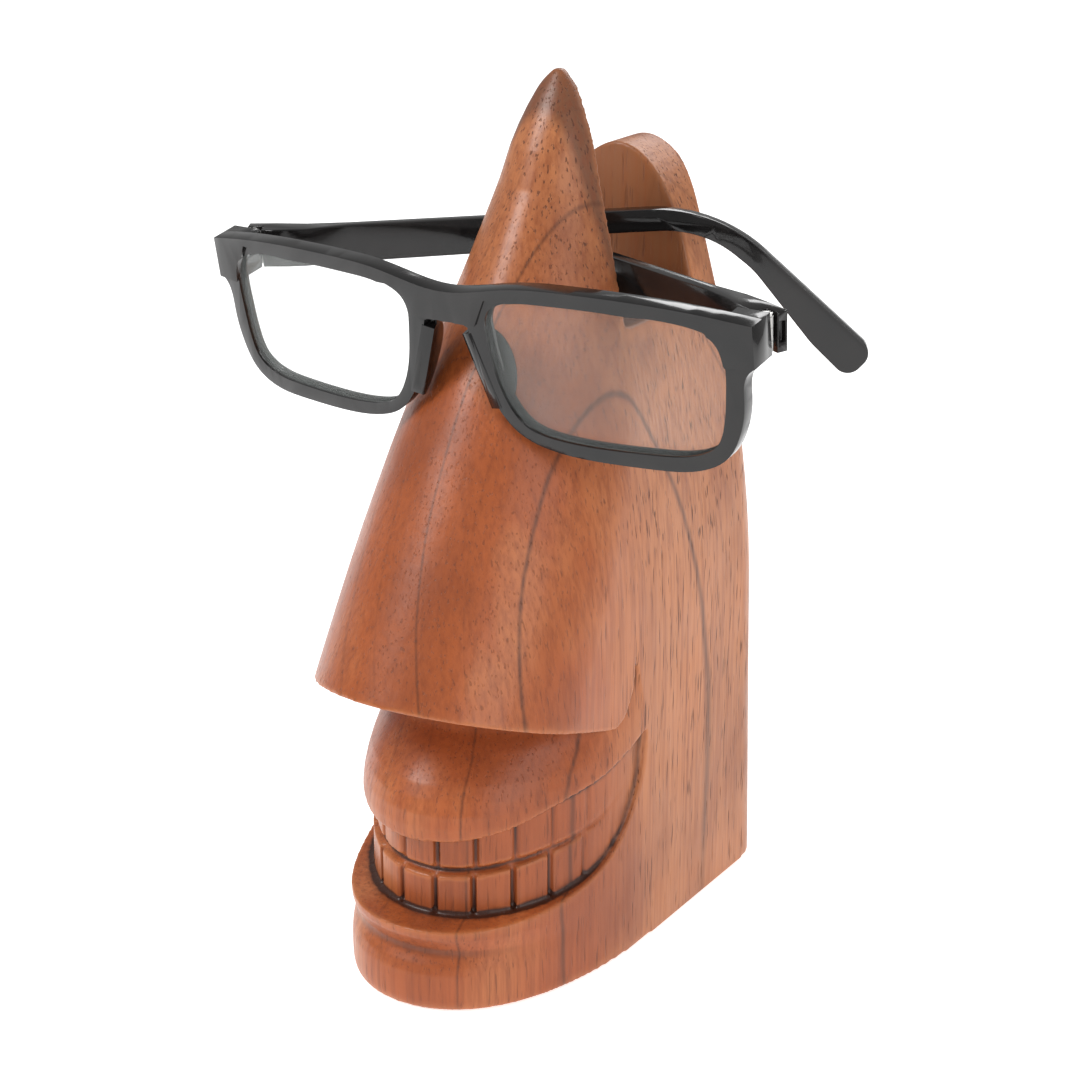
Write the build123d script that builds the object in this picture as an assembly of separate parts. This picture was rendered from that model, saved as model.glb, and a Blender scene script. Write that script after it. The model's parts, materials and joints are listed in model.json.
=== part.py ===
from build123d import *
import math
import os

# One pair of reading spectacles resting on a stand that is carved from a single block of wood.
# Frame: +Z up, the carved nose points along -Y, origin at the middle of the stand's underside.
# All lengths in millimetres, all angles in degrees.

# ---- Carved block: overall sizes ----
HALF_WIDTH = 31.5            # flat cheeks, from the base up to the nose rim
BACK_Y = 54.5                # back face at the base
BACK_LEAN = 0.05             # how far the back face comes forward for each mm of height
BACK_CORNER = 11.0           # radius of the two rear corners in plan
CHEEK_TOP = 76.0             # above this height the cheeks lean in
TIP_Z = 196.0                # very top of the nose
CLOSING_Z = 198.5            # height at which the leaning cheeks would meet
RIDGE_SLOPE = 0.6            # the ridge of the nose moves forward this much per mm down
RIDGE_TOP_Y = 8.0            # where that ridge would meet the top
TIP_SWELL = 1.9
DOME_Z, DOME_HEIGHT = 192.0, 4.2    # the tip is rounded off above this height
FLANK_ANGLE = 33.0           # flanks of the nose, measured from straight back

NOSE_RADIUS = ((50, 21.5), (98, 21.5), (120, 19.0), (138, 13.8), (152, 9.6), (164, 8.6), (176, 9.0),
               (186, 9.4), (192, 8.0), (196, 4.0))   # (height, radius of the ridge in plan)

# ---- Nose underside, upper lip, teeth, lower lip and chin ----
NOSE_RIM_Y, NOSE_RIM_Z = -65.5, 75.0
UNDERSIDE_SLOPE = 0.344
WING_Y, WING_Z = -14.0, 58.5
MOUTH_CORNER_Y, MOUTH_CORNER_Z = -3.6, 53.6
UPPER_LIP_FRONT = ((30, -51.0), (38, -52.2), (43, -52.8), (47, -51.8), (51, -49.2), (56, -44.4),
                   (60, -40.2), (65, -37.4), (80, -36.6))   # (height, front of the lip)
LOWER_LIP_CURVE = ((-60, 19.5), (-33, 21.5), (-18, 26.5), (-9.5, 34.5), (-5.2, 43.0), (-3.6, 53.6))
MIDDLE_CURVE = ((-60, 28.5), (-33, 33.0), (-18, 37.5), (-9.5, 43.5), (-3.6, 53.0))
UPPER_LIP_CURVE = ((-60, 38.0), (-48, 39.4), (-30, 45.0), (-18, 47.8), (-9, 51.4), (-3.6, 53.6))
CHIN_FRONT_Y = -57.4
CHIN_GROOVE, CHIN_GROOVE_Z = 2.8, 13.5
LOWER_TEETH_Y = -49.0
UPPER_TEETH_Y = -48.0
TOOTH_ROW_END_Y = -7.0
TOOTH_WIDTH = 8.9
TOOTH_GROOVES = 6            # grooves on each side of the middle tooth
GROOVE_WIDTH = 1.3
GROOVE_DEPTH = 1.3

# ---- Slot for the folded temples, and the post behind it ----
SLOT_FLOOR_Z = 143.8
SLOT_FRONT_Y = 0.6
SLOT_FRONT_LEAN = 0.165
POST_FRONT_Y = 32.5
POST_ARCH = ((20.3, 143.8), (17.8, 154.0), (14.6, 163.0), (8.6, 172.0), (0.0, 176.2))

# ---- Spectacles, in their own frame: x along the front, y back towards the ears, z up ----
FRONT_LEAN = 10.5            # the front leans forward at the top by this much on the nose
FRONT_ORIGIN = (0.0, -27.5, 157.7)
FRONT_HALF = 67.5
FRONT_BOW = 8.8              # the bridge stands this far ahead of the end pieces
FRONT_THICKNESS = 3.4
BROW_STEP = 0.7              # brow bar and end pieces stand this far proud of the rims
END_PIECE_DEPTH = 6.9
LENS_THICKNESS = 1.8
LENS_BEVEL = 0.8             # how far the lens edge sits inside the rim's groove
OUTLINE = ((0, 1.0), (8.4, 2.0), (16.3, 3.5), (30, 4.1), (45, 3.4), (57, 2.0), (67.5, 0.0),
           (67.5, -9.2), (65.6, -11.0), (64.8, -17.0), (63.4, -24.6), (60.5, -29.8), (55.5, -32.6),
           (44.7, -33.5), (32, -33.2), (22, -32.0), (15.5, -29.4), (11, -24.5), (7.6, -15.5), (5.4, -6.6),
           (3.0, -5.8), (0, -5.8))
OPENING = ((9.6, -6.8), (10.7, -15.0), (13.2, -22.6), (17, -27.4), (23, -29.4), (33, -30.2), (46, -30.3),
           (54.8, -29.3), (58.6, -27.0), (60.4, -22.5), (61.3, -14.5), (61.2, -7.5), (59.4, -3.4),
           (55.5, -1.4), (46, 0.1), (35, 0.9), (24, 1.0), (14, -0.3), (10.6, -2.6))
PAD_DEPTH = 6.0
PAD_SHIFT = 6.6              # inner face of each moulded nose pad, measured from the middle
PAD_THICKNESS = 2.8

# ---- Folding temples ----
PIN = (65.2, 9.3, -1.5)      # hinge pin, at the top edge of the temple
PANTOSCOPIC = 6.8            # temples tip down by this much against the front
FOLD = {1: 25.9, -1: 27.8}   # angle left between each folded temple (+x side, -x side) and the front
RISE = {1: -3.4, -1: 2.6}    # the temple from the -x side crosses above the other
BUTT_LENGTH = 1.2
TEMPLE_STRAIGHT = 104.0
TEMPLE_EAR = 49.0
EAR_DROP = 46.0
TEMPLE_THICKNESS = 3.2
KNUCKLE_RADIUS = 1.45
SCREW_RADIUS = 0.7
SCREW_GAP = 0.05


def ridge_y(z):
    """Front edge of the nose at height z; it swells a little just under the tip."""
    swell = TIP_SWELL * max(0.0, 1 - ((z - 186) / 14) ** 2)
    return RIDGE_TOP_Y - RIDGE_SLOPE * (TIP_Z - z) - swell


def back_y(z):
    return BACK_Y - BACK_LEAN * z


def between(z, table):
    """Read a value at height z from a table of (height, value) pairs."""
    for (low, start), (high, end) in zip(table, table[1:]):
        if z <= high:
            share = max(0.0, (z - low) / (high - low))
            return start + (end - start) * share
    return table[-1][1]


def half_width(z):
    """Cheeks are flat and upright to CHEEK_TOP, then close in towards the tip."""
    share = max(0.0, (z - CHEEK_TOP) / (CLOSING_Z - CHEEK_TOP))
    dome = max(0.0, (z - DOME_Z) / DOME_HEIGHT)
    return HALF_WIDTH * (1 - share ** 1.8) ** 0.8 * math.sqrt(1 - dome ** 2)


def half_section(z, front_y, nose_radius, half, side_y=None, flank_from=None):
    """Right half of a level outline: round ridge, flank, cheek, rear corner, closed on the middle."""
    widening = math.tan(math.radians(FLANK_ANGLE))
    pull = nose_radius / (1.5 * widening)
    reach = (math.sqrt(pull * pull + 4 * pull * half) - pull) / 2
    flank_end = (front_y if flank_from is None else flank_from) + (half - reach) / widening
    if side_y is None:
        side_y = flank_end + 0.5 * half
    corner = min(BACK_CORNER, 0.55 * half)
    back = back_y(z)
    bend = corner * (1 - math.sqrt(0.5))
    front = Bezier((0, front_y, z), (reach, front_y, z), (half, flank_end, z), (half, side_y, z))
    cheek = Line((half, side_y, z), (half, back - corner, z))
    rear_corner = ThreePointArc(
        (half, back - corner, z), (half - bend, back - bend, z), (half - corner, back, z))
    rear = Line((half - corner, back, z), (0, back, z))
    middle = Line((0, back, z), (0, front_y, z))
    return Face(Wire([front, cheek, rear_corner, rear, middle]))


def both_halves(sections):
    """Join level half sections from the bottom up, and mirror them to the other side."""
    right = loft(sections, ruled=True)
    return right + mirror(right, about=Plane.YZ)


def nose_log():
    """The tall part: from under the nose rim up to its tip, before the slot is sawn."""
    heights = [50.0] + [CHEEK_TOP + 8 * step for step in range(14)] + [184, 188, 191, 192.5, 193.6, 194.6, 195.4, TIP_Z]
    return both_halves([half_section(z, ridge_y(z), between(z, NOSE_RADIUS), half_width(z))
                        for z in heights])


def across(outline, half=HALF_WIDTH + 20):
    """Extrude a side-view outline, drawn with y across and z up, right across the block."""
    return extrude(Plane.YZ * outline, amount=half, both=True)


def side_face(edges):
    return make_face(Curve() + edges)


def underside_z(y):
    return NOSE_RIM_Z - UNDERSIDE_SLOPE * (y - NOSE_RIM_Y)


def below_nose():
    """Side view of everything under the nose: the rim plane, then a curl up to the wing."""
    front = -110.0
    edges = [
        Line((front, underside_z(front)), (WING_Y - 7, underside_z(WING_Y - 7))),
        Spline((WING_Y - 7, underside_z(WING_Y - 7)), (WING_Y, WING_Z + 1.2), (WING_Y + 3.6, 64.5),
               (WING_Y + 4.8, 73.0), tangents=((1, -UNDERSIDE_SLOPE), (0.05, 1))),
        Line((WING_Y + 4.8, 73.0), (WING_Y + 5.2, 73.0)),
        Line((WING_Y + 5.2, 73.0), (MOUTH_CORNER_Y, MOUTH_CORNER_Z)),
        Line((MOUTH_CORNER_Y, MOUTH_CORNER_Z), (MOUTH_CORNER_Y, -5)),
        Line((MOUTH_CORNER_Y, -5), (front, -5)),
        Line((front, -5), (front, underside_z(front)))]
    return across(side_face(edges))


def smile(points, start_tangent, end_tangent):
    return Spline(*points, tangents=(start_tangent, end_tangent))


def above_smile(curve_points, start_tangent, end_tangent, roof=90.0):
    """Side view of everything above a smile curve and ahead of the mouth corner."""
    first, last = curve_points[0], curve_points[-1]
    edges = [
        smile(curve_points, start_tangent, end_tangent),
        Line(last, (last[0], roof)),
        Line((last[0], roof), (-110, roof)),
        Line((-110, roof), (-110, first[1])),
        Line((-110, first[1]), first)]
    return across(side_face(edges))


def chin_front(z):
    """Middle of the chin: a soft groove under the lower lip."""
    return CHIN_FRONT_Y + CHIN_GROOVE * math.exp(-((z - CHIN_GROOVE_Z) / 3.0) ** 2) + 0.7 * math.exp(-z / 1.2)


def chin_block():
    """Lower stock: base, chin, the groove under the lower lip, and the lower lip itself."""
    heights = [0, 0.8, 2, 4, 6.5, 8.5, 10.5, 12, 13, 14, 15.5, 17.5, 20, CHEEK_TOP]
    return both_halves([half_section(z, chin_front(z), 25, HALF_WIDTH, 0.0, CHIN_FRONT_Y + 1.2 * math.exp(-z))
                        for z in heights])


def upper_lip():
    heights = [30 + 3 * step for step in range(17)]
    return both_halves([half_section(z, between(z, UPPER_LIP_FRONT), 22 - 0.2 * (z - 30), HALF_WIDTH,
                                     MOUTH_CORNER_Y) for z in heights])


def tooth_stock(front_y, radius):
    return both_halves([half_section(z, front_y, radius, HALF_WIDTH - 1.6, TOOTH_ROW_END_Y)
                        for z in (10, 60)])


def tooth_grooves(front_y, radius):
    """Upright slots between teeth, square to the curved front of the row."""
    outline = half_section(0, front_y, radius, HALF_WIDTH - 1.6, TOOTH_ROW_END_Y).edges().sort_by(Axis.Y)
    front = max((edge for edge in outline if edge.geom_type == GeomType.BEZIER), key=lambda e: e.length)
    slots = []
    for number in range(TOOTH_GROOVES):
        along = (number + 0.5) * TOOTH_WIDTH
        if along > front.length - 2:
            break
        share = along / front.length
        if abs(front.position_at(0).X) > 1:
            share = 1 - share
        spot, heading = front.position_at(share), front.tangent_at(share)
        turn = math.degrees(math.atan2(heading.Y, heading.X))
        slot = Pos(spot.X, spot.Y, 35) * Rot(0, 0, turn) * Box(GROOVE_WIDTH, 2 * GROOVE_DEPTH, 60)
        slots += [slot, mirror(slot, about=Plane.YZ)]
    return slots


def middle_groove():
    """The dark line where the two rows of teeth meet."""
    low = [(y, z - 0.8) for y, z in MIDDLE_CURVE]
    high = [(y, z + 0.8) for y, z in MIDDLE_CURVE]
    return above_smile(low, (1, 0), (0.4, 1)) - above_smile(high, (1, 0), (0.4, 1))


def slot_cutter():
    """Space between the back of the nose and the post, open at the top and at both sides."""
    top = TIP_Z + 10
    front_top = SLOT_FRONT_Y + SLOT_FRONT_LEAN * (top - SLOT_FLOOR_Z)
    outline = Polyline((SLOT_FRONT_Y, SLOT_FLOOR_Z), (POST_FRONT_Y, SLOT_FLOOR_Z), (POST_FRONT_Y, top),
                       (front_top, top), close=True)
    return across(make_face(outline))


def post_trimmer():
    """Everything beside and above the rounded top of the rear post."""
    arch = Spline(*[(-x, z) for x, z in POST_ARCH], *[(x, z) for x, z in reversed(POST_ARCH[:-1])])
    ends = POST_ARCH[0]
    edges = [arch,
             Line((ends[0], ends[1]), (50, ends[1])), Line((50, ends[1]), (50, TIP_Z + 10)),
             Line((50, TIP_Z + 10), (-50, TIP_Z + 10)), Line((-50, TIP_Z + 10), (-50, ends[1])),
             Line((-50, ends[1]), (-ends[0], ends[1]))]
    outline = Plane(origin=(0, 25, 0), x_dir=(1, 0, 0), z_dir=(0, -1, 0)) * make_face(Curve() + edges)
    return extrude(outline, amount=-60)


def carved_block():
    """Base, chin, two rows of teeth, upper lip, nose, slot and post, all one piece of wood."""
    under_nose = below_nose()
    above_lower_lip = above_smile(LOWER_LIP_CURVE, (1, 0), (0.1, 1))
    above_middle = above_smile(MIDDLE_CURVE, (1, 0), (0.4, 1))
    above_teeth = above_smile(UPPER_LIP_CURVE, (1, 0), (1, 0.4))
    tooth_tops = above_smile([(y, z + 1.0) for y, z in UPPER_LIP_CURVE], (1, 0), (1, 0.4))
    tooth_roots = above_smile([(y, z - 1.5) for y, z in LOWER_LIP_CURVE], (1, 0), (0.1, 1))
    lip = upper_lip() & above_teeth & under_nose
    upper_teeth = (tooth_stock(UPPER_TEETH_Y, 20) & above_middle) - tooth_tops
    lower_teeth = (tooth_stock(LOWER_TEETH_Y, 21) & tooth_roots) - above_middle
    upper_teeth = upper_teeth - tooth_grooves(UPPER_TEETH_Y, 20)
    lower_teeth = lower_teeth - tooth_grooves(LOWER_TEETH_Y, 21)
    core = tooth_stock(UPPER_TEETH_Y + GROOVE_DEPTH, 19.5) & (tooth_roots - tooth_tops)
    teeth = (upper_teeth + lower_teeth) - middle_groove() + core
    nose = nose_log() - under_nose - slot_cutter() - post_trimmer()
    base = chin_block() - above_lower_lip
    return base + teeth + lip + nose


def smooth_face(points, grow=0.0):
    """Closed smooth outline, drawn with x across and z up, in four lengths; grow moves it outwards."""
    loop = Spline(*points, periodic=True)
    if grow:
        shares = [step / 40 for step in range(40)]
        spots = [(loop.position_at(share), loop.tangent_at(share)) for share in shares]
        spots = [(spot.X + grow * way.Y, spot.Y - grow * way.X) for spot, way in spots]
        loop = Spline(*spots, periodic=True)
    return Face(Wire([loop.trim(quarter / 4, (quarter + 1) / 4) for quarter in range(4)]))


def worn(shape):
    """Set a piece drawn in the spectacles' frame on the nose."""
    return Pos(*FRONT_ORIGIN) * Rot(FRONT_LEAN, 0, 0) * shape


def bow_slab(front_offset, thickness):
    """Curved sheet, upright, whose front face bows ahead of the end pieces."""
    def arc(offset):
        reach = FRONT_HALF + 6
        ends = FRONT_BOW * ((reach / FRONT_HALF) ** 2 - 1)
        return (-reach, ends + offset), (0, offset - FRONT_BOW), (reach, ends + offset)
    near, far = arc(front_offset), arc(front_offset + thickness)
    edges = [ThreePointArc(*near), Line(near[2], far[2]), ThreePointArc(*far), Line(far[0], near[0])]
    return Pos(0, 0, -60) * extrude(make_face(Curve() + edges), amount=80)


def front_outline():
    right = list(OUTLINE)
    edges = [Spline(*right[0:7], tangents=((1, 0), (1, -0.2))), Line(right[6], right[7]),
             Spline(*right[7:20]), Spline(*right[19:22])]
    half = make_face(Curve() + edges + [Line(right[21], right[0])])
    return half


def lens_outline(grow=0.0):
    return smooth_face(OPENING, grow)


def upright(face, near=-40, far=60):
    """Extrude an x-z outline from y=near to y=far."""
    placed = Plane(origin=(0, far, 0), x_dir=(1, 0, 0), z_dir=(0, -1, 0)) * face
    return extrude(placed, amount=far - near)


def mirrored_pair(solid):
    return solid + mirror(solid, about=Plane.YZ)


def brow_mask():
    """Region of the front that stands proud: bridge, brow bar and end pieces."""
    return Polyline((-5, -5.8), (7.6, -5.8), (10.6, 0.4), (57, 0.4), (61.6, -9.2), (75, -9.2), (75, 12),
                    (-5, 12), close=True)


def nose_pad():
    """Moulded fin behind the nose side of the right rim."""
    fin = make_face(Curve() + [Spline((0, 8.6), (PAD_DEPTH * 0.8, 5.0), (PAD_DEPTH, 0.0), (PAD_DEPTH * 0.72, -6.2),
                                      (0, -10.4)), Line((0, -10.4), (-2.6, -9.0)), Line((-2.6, -9.0), (-2.6, 8.0)),
                               Line((-2.6, 8.0), (0, 8.6))])
    body = extrude(Plane.YZ * fin, amount=PAD_THICKNESS)
    body = fillet(body.edges().filter_by(GeomType.BSPLINE), 0.9)
    return Pos(PAD_SHIFT, FRONT_THICKNESS - FRONT_BOW - 0.3, -16.0) * Rot(0, -18, -14) * body


def frame_front():
    """One moulded piece: bridge, brow bars, rims, end pieces and nose pads."""
    ring = upright(front_outline())
    rims = ring & bow_slab(0.0, FRONT_THICKNESS)
    proud = ring & upright(make_face(brow_mask())) & bow_slab(-BROW_STEP, FRONT_THICKNESS)
    end_piece = Pos(FRONT_HALF - 3.6, END_PIECE_DEPTH / 2, -4.6) * Box(7.2, END_PIECE_DEPTH - 0.4, 9.2)
    end_piece = end_piece & upright(front_outline())
    hole = upright(lens_outline())
    half = (rims + proud + end_piece) - hole + (nose_pad() - hole)
    lens_seat = upright(lens_outline(LENS_BEVEL + 0.05)) & bow_slab(
        (FRONT_THICKNESS - LENS_THICKNESS) / 2 - 0.05, LENS_THICKNESS + 0.1)
    return mirrored_pair(half - lens_seat)


def lens(side):
    right = upright(lens_outline(LENS_BEVEL)) & bow_slab(
        (FRONT_THICKNESS - LENS_THICKNESS) / 2, LENS_THICKNESS)
    return right if side > 0 else mirror(right, about=Plane.YZ)


def hinge_frame(side):
    """Frame of one hinge: origin on the pin at the temple's top edge, z along the pin."""
    return Pos(side * PIN[0], PIN[1], PIN[2]) * Rot(-PANTOSCOPIC, 0, 0)


def folded(side):
    return hinge_frame(side) * Rot(0, 0, side * (90 - FOLD[side]))


def temple_profile(rise):
    """Side view of a temple, drawn from the pin backwards (across) with its top edge at 0."""
    up = math.tan(math.radians(rise))
    drop = math.radians(EAR_DROP - rise)
    along, down = math.cos(drop), math.sin(drop)
    start = 12.0
    bend = (TEMPLE_STRAIGHT, up * (TEMPLE_STRAIGHT - start))

    def arm(x, depth):
        return x, up * max(0.0, x - start) - depth

    def ear(reach, depth):
        return bend[0] + along * reach - down * depth, bend[1] - down * reach - along * depth

    top = [(-BUTT_LENGTH, 0), (start, 0), bend, ear(TEMPLE_EAR, 0.6)]
    low = [ear(TEMPLE_EAR, 9.2), ear(TEMPLE_EAR - 12, 8.6), ear(16, 5.0), arm(TEMPLE_STRAIGHT - 3, 5.0),
           arm(74, 5.0), arm(52, 8.0), arm(start, 8.6), (-BUTT_LENGTH, -8.6)]
    outline = make_face(Polyline(*top, *low, close=True))
    outline = fillet(near_points(outline, [bend]), 36)
    outline = fillet(near_points(outline, [low[3]]), 24)
    outline = fillet(near_points(outline, [low[1], low[2], low[4], low[5]]), 20)
    return fillet(near_points(outline, [top[3], low[0]]), 3.4)


def near_points(face, points):
    return [min(face.vertices(), key=lambda v: abs(v.X - x) + abs(v.Y - y)) for x, y in points]


def temple(side):
    length = TEMPLE_STRAIGHT + TEMPLE_EAR + 6
    slab = extrude(Plane.YZ * temple_profile(RISE[side]), amount=12, both=True)
    plan = Polyline((-1.4, -BUTT_LENGTH), (4.4, -BUTT_LENGTH), (4.4, 5), (TEMPLE_THICKNESS, 22),
                    (TEMPLE_THICKNESS, TEMPLE_STRAIGHT), (TEMPLE_THICKNESS + 0.5, length),
                    (-0.5, length), (0, TEMPLE_STRAIGHT), (0, 22), (-1.4, 8), close=True)
    arm = slab & (Pos(0, 0, -120) * extrude(make_face(plan), amount=180))
    notch = Pos(0.1, 0.4, -5) * Box(3.6, 4.0, 20)
    tang_recess = Pos(3.1, -BUTT_LENGTH, -4.3) * Box(1.5, 2.4, 4.4)
    arm = arm - notch - tang_recess
    if side < 0:
        arm = mirror(arm, about=Plane.YZ)
    return folded(side) * arm


def hinge_front_leaf(side):
    """Middle knuckle and the plate that joins it to the end piece."""
    knuckle = Pos(0, 0, -4.3) * Cylinder(KNUCKLE_RADIUS, 2.6)
    plate = Pos(-side * 0.2, -1.6, -4.3) * Box(1.6, 2.6, 2.6)
    bore = Pos(0, 0, -4.3) * Cylinder(SCREW_RADIUS + SCREW_GAP, 10)
    leaf = hinge_frame(side) * (knuckle + plate - bore)
    return leaf - (Pos(side * FRONT_HALF, 0, 0) * Box(40, 2 * (END_PIECE_DEPTH - 0.2), 60))


def hinge_temple_leaf(side):
    """Upper and lower knuckles on a plate let into the inner face of the temple."""
    knuckles = [Pos(0, 0, z) * Cylinder(KNUCKLE_RADIUS, 2.2) for z in (-1.8, -6.8)]
    tabs = [Pos(0, 1.7, z) * Box(1.4, 1.4, 2.2) for z in (-1.8, -6.8)]
    bore = Pos(0, 0, -4.3) * Cylinder(SCREW_RADIUS + SCREW_GAP, 12)
    return folded(side) * (knuckles[0] + knuckles[1] + tabs[0] + tabs[1] - bore)


def hinge_screw(side):
    """Slotted screw that is the hinge pin."""
    shank = Pos(0, 0, -4.3) * Cylinder(SCREW_RADIUS, 7.4)
    head = Pos(0, 0, -0.38) * Cylinder(1.3, 0.6)
    slot = Pos(0, 0, -0.1) * Box(3, 0.4, 0.5)
    return folded(side) * (shank + head - slot)


SIDES = (("left", 1), ("right", -1))    # the carved face's own left is at +x


def spectacles():
    pieces = {"frame_front": frame_front()}
    for name, side in SIDES:
        pieces["lens_" + name] = lens(side)
        pieces["temple_" + name] = temple(side)
        pieces["hinge_front_leaf_" + name] = hinge_front_leaf(side)
        pieces["hinge_temple_leaf_" + name] = hinge_temple_leaf(side)
        pieces["hinge_screw_" + name] = hinge_screw(side)
    return {name: worn(piece) for name, piece in pieces.items()}


if __name__ == "__main__":
    os.makedirs("parts", exist_ok=True)
    pieces = {"carved_block": carved_block()}
    pieces.update(spectacles())
    for name, piece in pieces.items():
        print(name, round(piece.volume), piece.is_valid, len(piece.solids()))
        export_step(piece, "parts/" + name + ".step")
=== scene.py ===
# %% [markdown]
# # A carved nose stand with a pair of reading spectacles
# One block of reddish hardwood is carved into a nose, a toothy smile and a post, and a pair of glossy
# black spectacles rests on the nose with its temples folded into a slot.
# The sizes come from a imported model, the frame. Pieces either keep its shapes or are softened copies of
# them. We load it first.

# %% Load the frame
import bpy
import bmesh
import json
import math
import numpy
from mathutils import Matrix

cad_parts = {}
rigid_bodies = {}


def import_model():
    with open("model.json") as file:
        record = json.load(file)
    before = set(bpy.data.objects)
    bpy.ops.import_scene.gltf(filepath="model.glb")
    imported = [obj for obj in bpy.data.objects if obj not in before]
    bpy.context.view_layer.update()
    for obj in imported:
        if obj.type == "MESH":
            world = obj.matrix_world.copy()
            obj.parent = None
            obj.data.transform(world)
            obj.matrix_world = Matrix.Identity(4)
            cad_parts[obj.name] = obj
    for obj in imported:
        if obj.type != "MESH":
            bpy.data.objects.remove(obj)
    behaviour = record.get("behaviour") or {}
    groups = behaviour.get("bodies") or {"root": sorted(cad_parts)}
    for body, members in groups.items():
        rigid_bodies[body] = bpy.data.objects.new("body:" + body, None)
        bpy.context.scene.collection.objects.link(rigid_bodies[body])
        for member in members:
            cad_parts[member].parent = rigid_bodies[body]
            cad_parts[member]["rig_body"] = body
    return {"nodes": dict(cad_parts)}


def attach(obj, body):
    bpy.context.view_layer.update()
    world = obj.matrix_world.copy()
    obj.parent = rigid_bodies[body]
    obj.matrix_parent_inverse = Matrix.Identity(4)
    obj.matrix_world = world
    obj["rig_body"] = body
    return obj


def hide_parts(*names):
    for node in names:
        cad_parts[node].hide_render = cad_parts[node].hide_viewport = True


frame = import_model()
for stray in ("Cube", "Light", "Camera"):       # a fresh Blender file brings these along
    if stray in bpy.data.objects:
        bpy.data.objects.remove(bpy.data.objects[stray])
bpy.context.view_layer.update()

# %% [markdown]
# ## Camera
# A camera looks down its own -Z, so a rotation of 90 degrees less the elevation tips it to look at the
# object from above, and the azimuth turns it round. A long lens from a good half metre keeps the shape calm.

# %% Set up the camera
AZIMUTH, ELEVATION = 33.2, 20.7
eye = bpy.data.cameras.new("camera")
eye.lens, eye.sensor_width = 79.0, 36.0
camera = bpy.data.objects.new("camera", eye)
camera.location = (0.2747, -0.4192, 0.2804)
camera.rotation_euler = (math.radians(90 - ELEVATION), 0, math.radians(AZIMUTH))
bpy.context.scene.collection.objects.link(camera)
bpy.context.scene.camera = camera
bpy.context.scene.view_settings.view_transform = "Standard"
print("camera at", tuple(round(v, 3) for v in camera.location))

# %% [markdown]
# ## Stage and light
# A plain pale floor and a pale world give the soft, shadow-poor look of a small studio. The floor is a
# large bmesh grid just under the base. It glows a little, so that its far end stays white.


# %% Lay the floor
def link(mesh, name):
    """A new object for a mesh, at the origin, in the scene."""
    made = bpy.data.objects.new(name, mesh)
    bpy.context.scene.collection.objects.link(made)
    return made


def studio_floor(half=3.0):
    shape = bmesh.new()
    bmesh.ops.create_grid(shape, x_segments=2, y_segments=2, size=half)
    bmesh.ops.translate(shape, verts=shape.verts, vec=(0, 0, -0.0004))
    mesh = bpy.data.meshes.new("studio_floor")
    shape.to_mesh(mesh)
    shape.free()
    paper = bpy.data.materials.new("white_paper")
    paper.use_nodes = True
    surface = paper.node_tree.nodes["Principled BSDF"]
    surface.inputs["Base Color"].default_value = (0.9, 0.9, 0.9, 1)
    surface.inputs["Roughness"].default_value = 0.9
    surface.inputs["Emission Color"].default_value = (1, 1, 1, 1)
    surface.inputs["Emission Strength"].default_value = 0.68
    mesh.materials.append(paper)
    floor = link(mesh, "studio_floor")
    return floor


print("floor reaches", studio_floor().dimensions.x / 2, "m each way")

# %% [markdown]
# Three soft boxes: a key from the left and above, a weaker fill from the right, and a long strip behind
# that draws the thin highlights along the black plastic. Each is aimed at the nose. The world is white to
# the camera but dimmer as a lamp, or the whole varnish would turn pale.


# %% Place the lamps
def soft_box(name, place, size, power, aim=(0, -0.01, 0.1)):
    lamp = bpy.data.lights.new(name, "AREA")
    lamp.shape = "RECTANGLE"
    lamp.size, lamp.size_y = size
    lamp.energy = power
    holder = bpy.data.objects.new(name, lamp)
    bpy.context.scene.collection.objects.link(holder)
    holder.location = place
    away = holder.location - type(holder.location)(aim)
    holder.rotation_euler = away.to_track_quat("Z", "Y").to_euler()
    return holder


soft_box("key_box", (-0.5, -0.7, 0.95), (0.45, 0.45), 9.0)
soft_box("fill_box", (1.0, -0.45, 0.45), (0.6, 0.8), 4.0)
soft_box("back_strip", (0.1, 0.8, 0.75), (1.2, 0.25), 4.5)
world = bpy.data.worlds.new("studio_world")
world.use_nodes = True
backdrop = world.node_tree.nodes["Background"]
backdrop.inputs["Color"].default_value = (1, 1, 1, 1)
WORLD_AS_LAMP, WORLD_IN_VIEW = 0.38, 1.1
seen = world.node_tree.nodes.new("ShaderNodeLightPath")
level = world.node_tree.nodes.new("ShaderNodeMapRange")
level.inputs["To Min"].default_value, level.inputs["To Max"].default_value = WORLD_AS_LAMP, WORLD_IN_VIEW
world.node_tree.links.new(seen.outputs["Is Camera Ray"], level.inputs["Value"])
world.node_tree.links.new(level.outputs["Result"], backdrop.inputs["Strength"])
bpy.context.scene.world = world

# %% [markdown]
# ## Small tools for finishes
# A finish is a little network of shader nodes. These helpers add one node each and wire what they are
# given: a socket becomes a link, and a plain value is typed straight into the input.


# %% Helpers for shader nodes
def new_finish(name):
    material = bpy.data.materials.new(name)
    material.use_nodes = True
    return material, material.node_tree, material.node_tree.nodes["Principled BSDF"]


def give(tree, made, socket, value):
    if isinstance(value, bpy.types.NodeSocket):
        tree.links.new(value, made.inputs[socket])
    elif value is not None:
        made.inputs[socket].default_value = value


def here(tree):
    return tree.nodes.new("ShaderNodeTexCoord").outputs["Object"]


def placed(tree, vector, scale):
    made = tree.nodes.new("ShaderNodeMapping")
    give(tree, made, "Vector", vector)
    give(tree, made, "Scale", scale)
    return made.outputs["Vector"]


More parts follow.
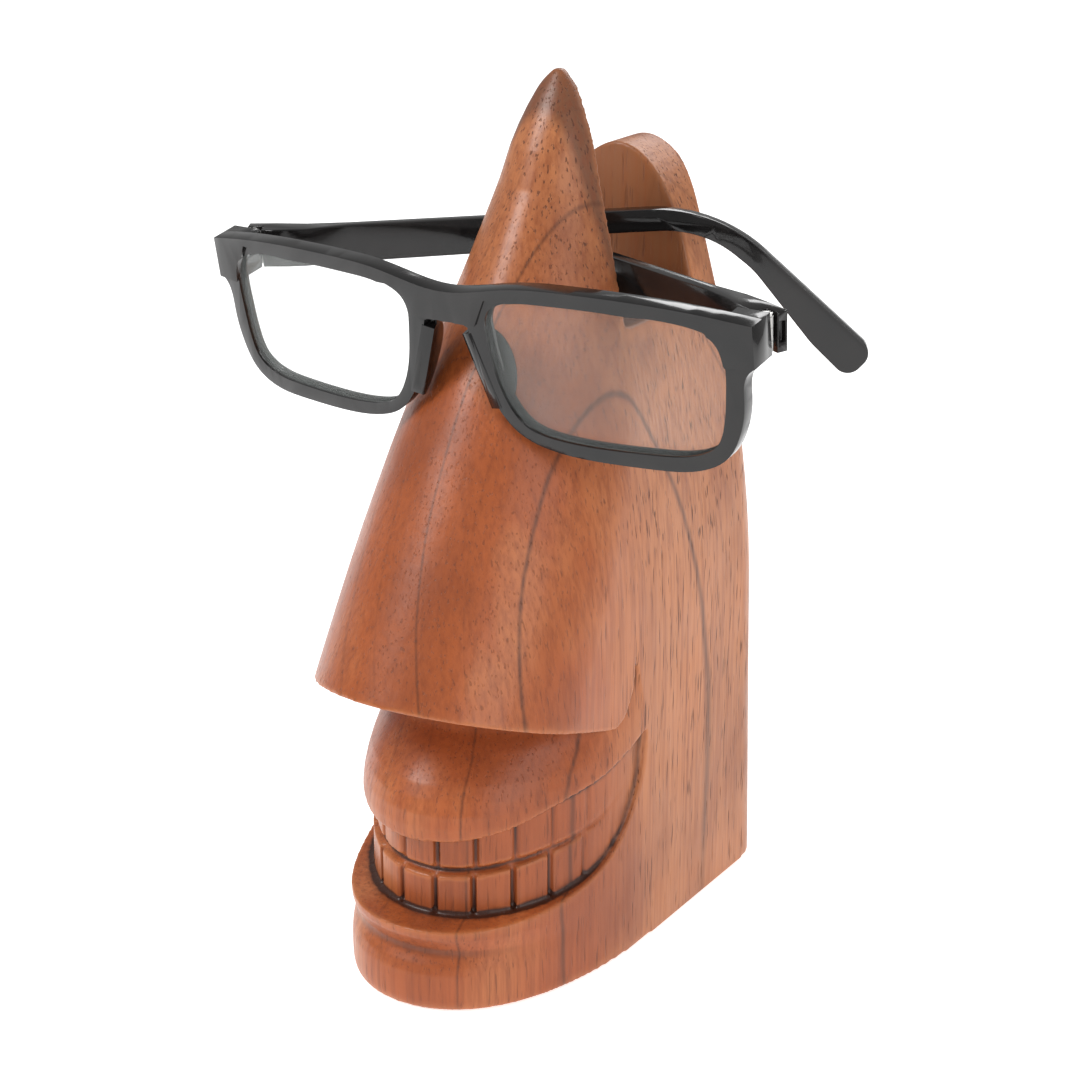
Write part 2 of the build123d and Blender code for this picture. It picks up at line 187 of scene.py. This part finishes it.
def noise(tree, vector, scale, detail=2.0, roughness=0.5, distortion=0.0):
    made = tree.nodes.new("ShaderNodeTexNoise")
    for socket, value in (("Vector", vector), ("Scale", scale), ("Detail", detail),
                          ("Roughness", roughness), ("Distortion", distortion)):
        give(tree, made, socket, value)
    return made


def maths(tree, operation, first, second=None, clamp=False):
    made = tree.nodes.new("ShaderNodeMath")
    made.operation, made.use_clamp = operation, clamp
    give(tree, made, 0, first)
    give(tree, made, 1, second)
    return made.outputs[0]


def vectors(tree, operation, first, second=None, scale=None):
    made = tree.nodes.new("ShaderNodeVectorMath")
    made.operation = operation
    give(tree, made, 0, first)
    give(tree, made, 1, second)
    give(tree, made, "Scale", scale)
    return made.outputs["Value"] if operation == "LENGTH" else made.outputs["Vector"]


def ranged(tree, value, low, high, to_low=0.0, to_high=1.0, smooth=False):
    made = tree.nodes.new("ShaderNodeMapRange")
    made.interpolation_type = "SMOOTHSTEP" if smooth else "LINEAR"
    for socket, number in enumerate((value, low, high, to_low, to_high)):
        give(tree, made, socket, number)
    return made.outputs["Result"]


def blended(tree, share, first, second, way="MIX"):
    made = tree.nodes.new("ShaderNodeMix")
    made.data_type, made.blend_type = "RGBA", way
    give(tree, made, 0, share)
    give(tree, made, 6, first)
    give(tree, made, 7, second)
    return made.outputs[2]


def bumped(tree, shader, height, depth):
    made = tree.nodes.new("ShaderNodeBump")
    made.inputs["Strength"].default_value = 1.0
    made.inputs["Distance"].default_value = depth
    give(tree, made, "Height", height)
    tree.links.new(made.outputs["Normal"], shader.inputs["Normal"])


def set_plainly(shader, **values):
    """Numbers that are the same all over go straight on the shader's own sockets."""
    for name, value in values.items():
        shader.inputs[name.replace("_", " ")].default_value = value


print("finish helpers are ready")

# %% [markdown]
# ## Wood
# A tree grows in sleeves around its heart, so a carved surface shows a line wherever it cuts one of them.
# If we place that heart beside the block, slightly tipped, every face gets the right pattern on its own:
# straight lines down the flat cheek, and pointed arches where the nose leans across the sleeves.
# Distance from the heart is all we need: thin dark lines at two chosen distances, and faint rings between.

# %% Growth rings around the heart of the tree
HEART = (0.1422, -0.0324)           # where the heart passes, beside the block, at the height below
HEART_HEIGHT = 0.1
HEART_SLOPE = (-0.103, -0.463)      # how far it leans across for each metre up
DARK_LINES = ((0.1210, 0.75), (0.1395, 0.6), (0.1075, 0.25), (0.1590, 0.3), (0.1500, 0.2))
RING = 0.0042                       # one year's growth
LINE_HALF = 0.00055
LEAN_STOP = -0.045                  # below this the heart runs straight down, so no line curls shut


def from_heart(tree, place):
    """Distance from the heart, with the slow wander of real growth."""
    wander = noise(tree, placed(tree, place, (1, 1, 0.35)), 22.0, 1.5).outputs["Color"]
    wander = vectors(tree, "SUBTRACT", wander, (0.5, 0.5, 0.5))
    place = vectors(tree, "ADD", place, vectors(tree, "SCALE", wander, scale=0.005))
    apart = tree.nodes.new("ShaderNodeSeparateXYZ")
    give(tree, apart, 0, place)
    flat = tree.nodes.new("ShaderNodeCombineXYZ")
    rise = maths(tree, "MAXIMUM", maths(tree, "SUBTRACT", apart.outputs[2], HEART_HEIGHT), LEAN_STOP)
    for axis in (0, 1):
        lean = maths(tree, "MULTIPLY", rise, HEART_SLOPE[axis])
        centre = maths(tree, "ADD", lean, HEART[axis])
        give(tree, flat, axis, maths(tree, "SUBTRACT", apart.outputs[axis], centre))
    return vectors(tree, "LENGTH", flat.outputs[0])


def ring_pattern(tree, distance):
    """Faint rings, each of its own strength, plus the few strong dark lines."""
    count = maths(tree, "DIVIDE", distance, RING)
    own = tree.nodes.new("ShaderNodeTexWhiteNoise")
    own.noise_dimensions = "1D"
    give(tree, own, "W", maths(tree, "FLOOR", count))
    rise = maths(tree, "POWER", maths(tree, "FRACT", count), 5.0)
    rings = maths(tree, "MULTIPLY", rise, maths(tree, "POWER", own.outputs["Value"], 2.0))
    total = maths(tree, "MULTIPLY", rings, 0.3)
    for radius, strength in DARK_LINES:
        gap = maths(tree, "ABSOLUTE", maths(tree, "SUBTRACT", distance, radius))
        line = ranged(tree, gap, 0.0, LINE_HALF, strength, 0.0, smooth=True)
        total = maths(tree, "MAXIMUM", total, line)
    return total


print("heart of the tree passes", HEART, "and leans", HEART_SLOPE)

# %% [markdown]
# The colours follow use and varnish. The nose, lips and chin are polished to a red orange. The flat
# cheeks are paler and show short dark pores, which are cut vessels, long up the grain and very narrow.
# The sawn front of the post is dull and brown. Grooves turn dark from stain and from painted shade, and
# sharp edges turn paler as a painted highlight: each point of the block carries a number called "hollow"
# that says how deep it sits, which we measure from the shape itself further down.

# %% The carved wood's finish
RED_WOOD, TAN_WOOD = (0.36, 0.088, 0.024, 1), (0.43, 0.16, 0.062, 1)
# The second colour is the near black of groove stain plus painted shade.
DARK_LINE, GROOVE_STAIN_AND_SHADE = (0.085, 0.026, 0.012, 1), (0.03, 0.009, 0.005, 1)
DEEP_RED, HONEY = (0.2, 0.046, 0.015, 1), (0.52, 0.19, 0.07, 1)
SAWN = (0.12, 0.052, 0.03, 1)


def carved_wood():
    material, tree, shader = new_finish("carved_wood")
    place = here(tree)
    apart = tree.nodes.new("ShaderNodeSeparateXYZ")
    give(tree, apart, 0, place)
    distance = from_heart(tree, place)

    front = ranged(tree, apart.outputs[1], -0.028, 0.006, 1.0, 0.0, smooth=True)
    clouds = noise(tree, placed(tree, place, (1, 1, 0.45)), 38.0, 3.0, 0.55).outputs["Fac"]
    colour = blended(tree, front, TAN_WOOD, RED_WOOD)
    colour = blended(tree, ranged(tree, clouds, 0.5, 0.72, 0.0, 0.7), colour, DEEP_RED)
    colour = blended(tree, ranged(tree, clouds, 0.5, 0.28, 0.0, 0.7), colour, HONEY)

    sawn = maths(tree, "MULTIPLY", ranged(tree, apart.outputs[1], 0.0335, 0.0328),
                 ranged(tree, apart.outputs[1], 0.0, 0.002))
    sawn = maths(tree, "MULTIPLY", sawn, ranged(tree, apart.outputs[2], 0.1425, 0.1445))
    colour = blended(tree, maths(tree, "MULTIPLY", sawn, 0.8), colour, SAWN)

    fibre_place = placed(tree, place, (1, 1, 0.035))
    fibres = noise(tree, fibre_place, 900.0, 4.0, 0.6).outputs["Fac"]
    colour = blended(tree, ranged(tree, fibres, 0.42, 0.72, 0.0, 0.6), colour, DEEP_RED)

    vessel = noise(tree, placed(tree, place, (1, 1, 0.06)), 1900.0, 1.0, 0.5).outputs["Fac"]
    pores = ranged(tree, vessel, 0.63, 0.71, 0.0, 1.0)
    pore_share = maths(tree, "MULTIPLY", pores, ranged(tree, front, 0.0, 1.0, 0.85, 0.4))
    colour = blended(tree, pore_share, colour, DARK_LINE)

    rings = ring_pattern(tree, distance)
    broken = ranged(tree, fibres, 0.3, 0.7, 0.75, 1.1)
    colour = blended(tree, maths(tree, "MULTIPLY", rings, broken, clamp=True), colour, DARK_LINE)

    hollow = tree.nodes.new("ShaderNodeAttribute")
    hollow.attribute_name = "hollow"
    # Deeper points go towards near black: groove stain plus painted shade where less light reaches.
    depth = ranged(tree, hollow.outputs["Fac"], 0.1, 0.55, 0.0, 0.95)
    # Points on sharp outer edges go paler honey: a painted highlight along the edges.
    edge = ranged(tree, hollow.outputs["Fac"], -0.2, -0.8, 0.0, 0.35)
    colour = blended(tree, depth, colour, GROOVE_STAIN_AND_SHADE)
    colour = blended(tree, edge, colour, HONEY)
    tree.links.new(colour, shader.inputs["Base Color"])

    smudge = noise(tree, place, 60.0, 4.0, 0.6).outputs["Fac"]
    gloss = ranged(tree, smudge, 0.3, 0.7, 0.3, 0.46)
    gloss = maths(tree, "ADD", gloss, maths(tree, "MULTIPLY", pore_share, 0.25))
    tree.links.new(gloss, shader.inputs["Roughness"])
    chips = noise(tree, placed(tree, place, (1, 1, 0.5)), 120.0, 2.0, 0.5).outputs["Fac"]
    height = maths(tree, "MULTIPLY", fibres, 0.25)
    height = maths(tree, "SUBTRACT", height, maths(tree, "MULTIPLY", pore_share, 0.6))
    height = maths(tree, "ADD", height, maths(tree, "MULTIPLY", chips, 1.2))
    bumped(tree, shader, height, 0.00022)
    set_plainly(shader, Coat_Weight=0.12, Coat_Roughness=0.25, Specular_IOR_Level=0.3)
    return material


wood = carved_wood()
print("wood finish has", len(wood.node_tree.nodes), "nodes")

# %% [markdown]
# ## The carved block
# The frame's block has knife-sharp edges, while a carver sands every edge round. We copy it, merge the
# loose corners, and rebuild its skin from small cubes (a voxel remesh), which can be smoothed evenly.
# Smoothing rounds the edges by about half a millimetre. Decimate then thins the flat parts.


# %% Round the copied block
def merged_copy(node, name):
    """A copy of a frame node's mesh whose loose triangles are joined at their corners."""
    shape = bmesh.new()
    shape.from_mesh(frame["nodes"][node].data)
    bmesh.ops.remove_doubles(shape, verts=shape.verts, dist=1e-6)
    mesh = bpy.data.meshes.new(name)
    shape.to_mesh(mesh)
    shape.free()
    return link(mesh, name)


def settle(piece):
    """Apply the piece's modifiers to its mesh."""
    done = bpy.data.meshes.new_from_object(piece.evaluated_get(bpy.context.evaluated_depsgraph_get()))
    piece.modifiers.clear()
    piece.data = done
    return piece


def sanded(node, name, voxel, passes, keep):
    piece = merged_copy(node, name)
    skin = piece.modifiers.new("skin", "REMESH")
    skin.mode, skin.voxel_size = "VOXEL", voxel
    soft = piece.modifiers.new("sanding", "SMOOTH")
    soft.factor, soft.iterations = 0.5, passes
    thin = piece.modifiers.new("thinning", "DECIMATE")
    thin.ratio = keep
    settle(piece)
    for face in piece.data.polygons:
        face.use_smooth = True
    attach(piece, frame["nodes"][node]["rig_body"])
    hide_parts(node)
    print(name, len(piece.data.polygons), "faces")
    return piece


block = sanded("carved_block", "carved_block_sanded", 0.00045, 5, 0.24)
block.data.materials.clear()
block.data.materials.append(wood)

# %% [markdown]
# How deep does a point sit? Smooth a copy of all the points many times and see how far each one moved
# along its own normal: a point in a groove moves outwards, and a point on an edge moves inwards. We
# store the answer, in millimetres, as the attribute that drives the groove stain with its painted shade
# and the painted edge highlight.


# %% Measure the hollows
def mark_hollows(piece, passes=40):
    mesh = piece.data
    count = len(mesh.vertices)
    places = numpy.zeros(count * 3)
    mesh.vertices.foreach_get("co", places)
    places = places.reshape(-1, 3)
    normals = numpy.zeros(count * 3)
    mesh.vertices.foreach_get("normal", normals)
    edges = numpy.zeros(len(mesh.edges) * 2, dtype=int)
    mesh.edges.foreach_get("vertices", edges)
    first, second = edges.reshape(-1, 2).T
    degree = numpy.bincount(edges, minlength=count).astype(float)[:, None]
    moved = places.copy()
    for _ in range(passes):
        total = numpy.zeros_like(moved)
        numpy.add.at(total, first, moved[second])
        numpy.add.at(total, second, moved[first])
        moved = 0.3 * moved + 0.7 * total / degree
    hollow = 1000 * ((moved - places) * normals.reshape(-1, 3)).sum(axis=1)
    layer = mesh.attributes.new("hollow", "FLOAT", "POINT")
    layer.data.foreach_set("value", hollow.astype(numpy.float32))
    return hollow


depths = mark_hollows(block)
shares = numpy.percentile(depths, (0, 2, 25, 50, 75, 98, 100))
print("hollows in mm, shallowest to deepest:", shares.round(2))

# %% [markdown]
# ## Black acetate
# Polished acetate is nearly black, with a clear hard gloss. It is never perfect: fingers leave faint
# smudges that change the roughness, and buffing leaves a very shallow waviness.


# %% The spectacles' finish
def black_acetate():
    material, tree, shader = new_finish("black_acetate")
    place = here(tree)
    smudge = noise(tree, place, 90.0, 5.0, 0.6).outputs["Fac"]
    clean, handled = (0.006, 0.0058, 0.006, 1), (0.012, 0.0105, 0.01, 1)
    tint = blended(tree, ranged(tree, smudge, 0.35, 0.7), clean, handled)
    tree.links.new(tint, shader.inputs["Base Color"])
    tree.links.new(ranged(tree, smudge, 0.3, 0.75, 0.1, 0.24), shader.inputs["Roughness"])
    wave = noise(tree, place, 160.0, 2.0, 0.4).outputs["Fac"]
    hair = noise(tree, placed(tree, place, (1, 0.12, 1)), 2600.0, 2.0, 0.5).outputs["Fac"]
    height = maths(tree, "ADD", wave, maths(tree, "MULTIPLY", hair, 0.05))
    bumped(tree, shader, height, 0.00004)
    set_plainly(shader, Coat_Weight=0.25, Coat_Roughness=0.04, Specular_IOR_Level=0.32)
    return material


acetate = black_acetate()
print("acetate finish has", len(acetate.node_tree.nodes), "nodes")

# %% [markdown]
# The front and the temples come from the frame with sharp edges. Real ones are tumbled until every edge
# is round. We merge each copy, join the triangles of each flat face back together, and let a Bevel
# modifier round every edge sharper than a limit.


# %% Round the edges of the front and the temples
def rounded(node, name, width, segments=3, limit=32.0):
    piece = merged_copy(node, name)
    shape = bmesh.new()
    shape.from_mesh(piece.data)
    bmesh.ops.dissolve_limit(shape, angle_limit=math.radians(0.4), verts=shape.verts, edges=shape.edges,
                             delimit={"NORMAL"})
    shape.to_mesh(piece.data)
    shape.free()
    edge = piece.modifiers.new("edges", "BEVEL")
    edge.width, edge.segments = width, segments
    edge.limit_method, edge.angle_limit = "ANGLE", math.radians(limit)
    edge.harden_normals = True
    settle(piece)
    for face in piece.data.polygons:
        face.use_smooth = True
    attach(piece, frame["nodes"][node]["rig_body"])
    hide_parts(node)
    piece.data.materials.clear()
    piece.data.materials.append(acetate)
    print(name, len(piece.data.polygons), "faces")
    return piece


rounded("frame_front", "front_polished", 0.0004)
for side in ("left", "right"):
    rounded("temple_" + side, "temple_" + side + "_polished", 0.0007)

# %% [markdown]
# ## Lenses
# A thin clear lens is mostly invisible: it shows as a faint grey green, a light edge, and a reflection
# that grows as we look along it. Alpha makes it clear, and gloss gives the reflection.


# %% The lens finish
def clear_lens():
    material, tree, shader = new_finish("clear_lens")
    place = here(tree)
    film = noise(tree, place, 70.0, 4.0, 0.6).outputs["Fac"]
    tree.links.new(ranged(tree, film, 0.3, 0.7, 0.02, 0.09), shader.inputs["Roughness"])
    slant = tree.nodes.new("ShaderNodeLayerWeight")
    slant.inputs["Blend"].default_value = 0.35
    alpha = ranged(tree, slant.outputs["Facing"], 0.1, 0.95, 0.035, 0.3)
    alpha = maths(tree, "ADD", alpha, maths(tree, "MULTIPLY", film, 0.02))
    tree.links.new(alpha, shader.inputs["Alpha"])
    tint = blended(tree, film, (0.62, 0.68, 0.66, 1), (0.72, 0.74, 0.72, 1))
    tree.links.new(tint, shader.inputs["Base Color"])
    bumped(tree, shader, film, 0.00001)
    set_plainly(shader, Coat_Weight=0.8, Coat_Roughness=0.02, Specular_IOR_Level=0.8)
    return material


lens_finish = clear_lens()
for side in ("left", "right"):
    lens = frame["nodes"]["lens_" + side]
    lens.data.materials.clear()
    lens.data.materials.append(lens_finish)
print("both lenses are clear")

# %% [markdown]
# ## Hinges
# The leaves are stamped steel with a fine brushed grain, and the screws are turned bright. Both keep
# their shapes from the frame, because they are small and already exact.


# %% The two steels
def steel(name, colour, rough, across):
    material, tree, shader = new_finish(name)
    place = here(tree)
    grain = noise(tree, placed(tree, place, across), 6000.0, 3.0, 0.6).outputs["Fac"]
    dull = noise(tree, place, 900.0, 3.0, 0.5).outputs["Fac"]
    darker = tuple(0.6 * part for part in colour) + (1,)
    tree.links.new(blended(tree, dull, darker, colour + (1,)), shader.inputs["Base Color"])
    tree.links.new(ranged(tree, grain, 0.3, 0.7, rough, rough + 0.2), shader.inputs["Roughness"])
    bumped(tree, shader, grain, 0.00002)
    set_plainly(shader, Metallic=1.0)
    return material


hinge_steel = steel("hinge_steel", (0.62, 0.61, 0.59), 0.28, (1, 1, 0.1))
screw_steel = steel("screw_steel", (0.78, 0.77, 0.75), 0.16, (1, 0.2, 1))
for side in ("left", "right"):
    for node, metal in (("hinge_front_leaf_", hinge_steel), ("hinge_temple_leaf_", hinge_steel),
                        ("hinge_screw_", screw_steel)):
        part = frame["nodes"][node + side]
        part.data.materials.clear()
        part.data.materials.append(metal)
print("hinges finished on both sides")
